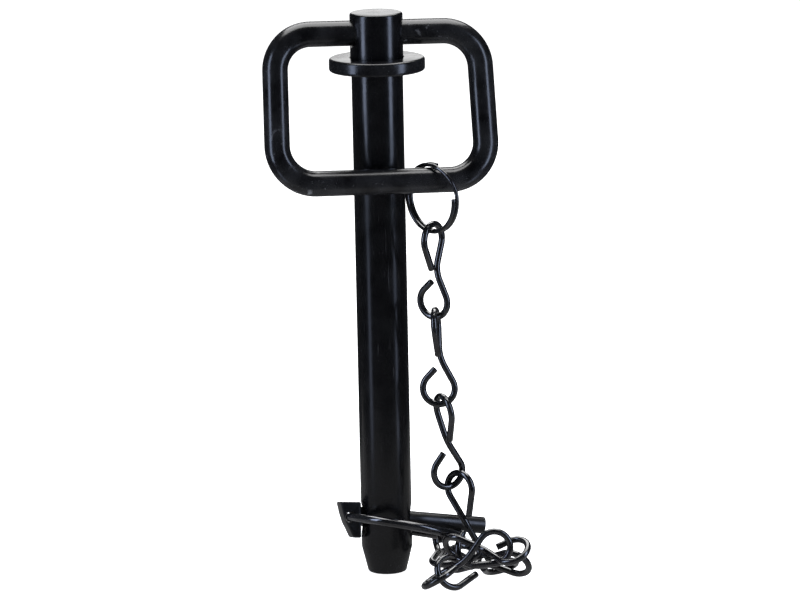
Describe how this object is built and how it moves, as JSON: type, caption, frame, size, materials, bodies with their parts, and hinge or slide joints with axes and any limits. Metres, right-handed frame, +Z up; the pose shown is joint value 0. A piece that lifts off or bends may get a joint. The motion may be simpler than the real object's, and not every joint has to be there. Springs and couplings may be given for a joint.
{
  "type": "hitch pin lock",
  "caption": "Headed hitch pin with a swinging bar handle, locked near its tip by a linch pin with a snap ring that a chain keeps with it.",
  "frame": {"origin": "middle of the flat end of the pin's tip", "axes": "+Z up the pin to its head, both cross holes run along X, and the handle leans to -Y"},
  "size_m": [0.0938, 0.0692, 0.2118],
  "materials": {
    "pin_coat": "gloss black powder coat",
    "collar_coat": "gloss black powder coat",
    "handle_coat": "gloss black powder coat",
    "ring_coat": "black-plated spring wire",
    "chain_link_1_coat": "black-plated steel wire, semi-gloss",
    "chain_link_2_coat": "black-plated steel wire, semi-gloss",
    "chain_link_3_coat": "black-plated steel wire, semi-gloss",
    "chain_link_4_coat": "black-plated steel wire, semi-gloss",
    "chain_link_5_coat": "black-plated steel wire, semi-gloss",
    "chain_link_6_coat": "black-plated steel wire, semi-gloss",
    "chain_link_7_coat": "black-plated steel wire, semi-gloss",
    "chain_link_8_coat": "black-plated steel wire, semi-gloss",
    "chain_link_9_coat": "black-plated steel wire, semi-gloss",
    "linch_coat": "semi-gloss black powder coat",
    "snap_coat": "gloss black-plated spring wire"
  },
  "bodies": {
    "pin_body": {"pin_bar": "pin_coat", "collar": "collar_coat"},
    "handle": {"handle": "handle_coat"},
    "split_ring": {"split_ring": "ring_coat"},
    "link_1": {"chain_link_1": "chain_link_1_coat"},
    "link_2": {"chain_link_2": "chain_link_2_coat"},
    "link_3": {"chain_link_3": "chain_link_3_coat"},
    "link_4": {"chain_link_4": "chain_link_4_coat"},
    "link_5": {"chain_link_5": "chain_link_5_coat"},
    "link_6": {"chain_link_6": "chain_link_6_coat"},
    "link_7": {"chain_link_7": "chain_link_7_coat"},
    "link_8": {"chain_link_8": "chain_link_8_coat"},
    "link_9": {"chain_link_9": "chain_link_9_coat"},
    "linch_pin": {"linch_pin": "linch_coat"},
    "linch_ring": {"linch_ring": "snap_coat"}
  },
  "joints": [
    {"name": "handle_swing", "type": "hinge", "parent": "pin_body", "child": "handle", "pos_m": [0, 0, 0.2042], "axis": [-1, 0, 0], "range_deg": [0, 328]},
    {"name": "ring_swing", "type": "hinge", "parent": "handle", "child": "split_ring", "pos_m": [0.01676, -0.0147, 0.15059], "axis": [-1, 0, 0], "range_deg": [0, 90]},
    {"name": "link_1_swing", "type": "hinge", "parent": "split_ring", "child": "link_1", "pos_m": [0.01676, -0.0147, 0.13145], "axis": [0.515, -0.8572, 0], "range_deg": [-40, 0]},
    {"name": "link_2_swing", "type": "hinge", "parent": "link_1", "child": "link_2", "pos_m": [0.01717, -0.01302, 0.09864], "axis": [-0.7068, 0.7069, -0.0283], "range_deg": [0, 60]},
    {"name": "link_3_swing", "type": "hinge", "parent": "link_2", "child": "link_3", "pos_m": [0.01739, -0.01526, 0.06615], "axis": [-0.9434, 0.3249, 0.0669], "range_deg": [-0.5, 1]},
    {"name": "link_4_swing", "type": "hinge", "parent": "link_3", "child": "link_4", "pos_m": [0.02187, -0.01408, 0.03407], "axis": [-0.9519, -0.2626, -0.1579], "range_deg": [-2, 3]},
    {"name": "link_5_swing", "type": "hinge", "parent": "link_4", "child": "link_5", "pos_m": [0.02544, -0.0242, 0.00573], "axis": [-0.7755, -0.433, 0.4595], "range_deg": [-1.5, 1]},
    {"name": "link_6_swing", "type": "hinge", "parent": "link_5", "child": "link_6", "pos_m": [0.03315, -0.03904, 0.01231], "axis": [0.3723, -0.9044, -0.2086], "range_deg": [-4.5, 3]},
    {"name": "link_7_swing", "type": "hinge", "parent": "link_6", "child": "link_7", "pos_m": [0.01875, -0.03334, 0.00825], "axis": [-0.717, 0.4714, -0.5134], "range_deg": [-0.5, 0.5]},
    {"name": "link_8_swing", "type": "hinge", "parent": "link_7", "child": "link_8", "pos_m": [0.03419, -0.02014, 0.00184], "axis": [-0.7642, -0.5942, 0.2509], "range_deg": [-1, 1]},
    {"name": "linch_pull", "type": "slide", "parent": "pin_body", "child": "linch_pin", "axis": [-0.9886, 0, 0.1506], "range_m": [0, 0.06]},
    {"name": "linch_ring_turn", "type": "hinge", "parent": "linch_pin", "child": "linch_ring", "pos_m": [-0.01453, -0.00029, 0.02138], "axis": [-0.0364, 0.9703, -0.2392], "range_deg": [0, 195]},
    {"name": "link_9_swing", "type": "hinge", "parent": "linch_ring", "child": "link_9", "pos_m": [0.02441, 0.00963, 0.00904], "axis": [0.5282, -0.845, 0.0834], "range_deg": [-1.5, 0.5]}
  ],
  "couplings": [
    {"joint": "linch_ring_turn", "follows": "linch_pull", "rad_per_m": 56.7}
  ]
}
